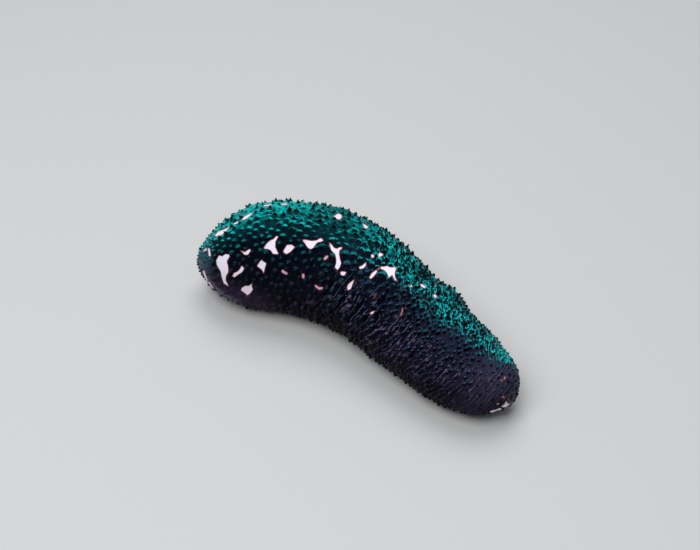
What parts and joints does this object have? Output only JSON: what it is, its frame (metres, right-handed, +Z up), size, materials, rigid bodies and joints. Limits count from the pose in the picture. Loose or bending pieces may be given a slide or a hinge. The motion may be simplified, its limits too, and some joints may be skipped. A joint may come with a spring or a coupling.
{
  "type": "sea cucumber",
  "caption": "Life-size still model of a stout black sea cucumber with white blotches and small papillae, lying bent to one side on its flat sole.",
  "frame": {"origin": "centre of the bounding box in plan, on the floor that the sole stands on", "axes": "+X from the front end (mouth) towards the rear end (vent) along the chord of the bent body, +Y to the animal's right, the outer side of the bend, +Z up"},
  "size_m": [0.29, 0.1151, 0.086],
  "materials": {
    "skin": "wet leathery skin, near black with a blue-violet tinge, teal on the back, white blotches edged in pink",
    "sole": "wet, soft, dusky violet grey with paler tube feet",
    "mouth": "wet puckered flesh, dusky violet",
    "vent": "wet puckered flesh, dark violet grey rim round a black opening"
  },
  "bodies": {
    "root": {"front_end": "skin", "fore_body": "skin", "mid_body": "skin", "hind_body": "skin", "rear_end": "skin", "sole_front": "sole", "sole_fore": "sole", "sole_mid": "sole", "sole_hind": "sole", "sole_rear": "sole", "mouth": "mouth", "vent": "vent"}
  },
  "joints": []
}
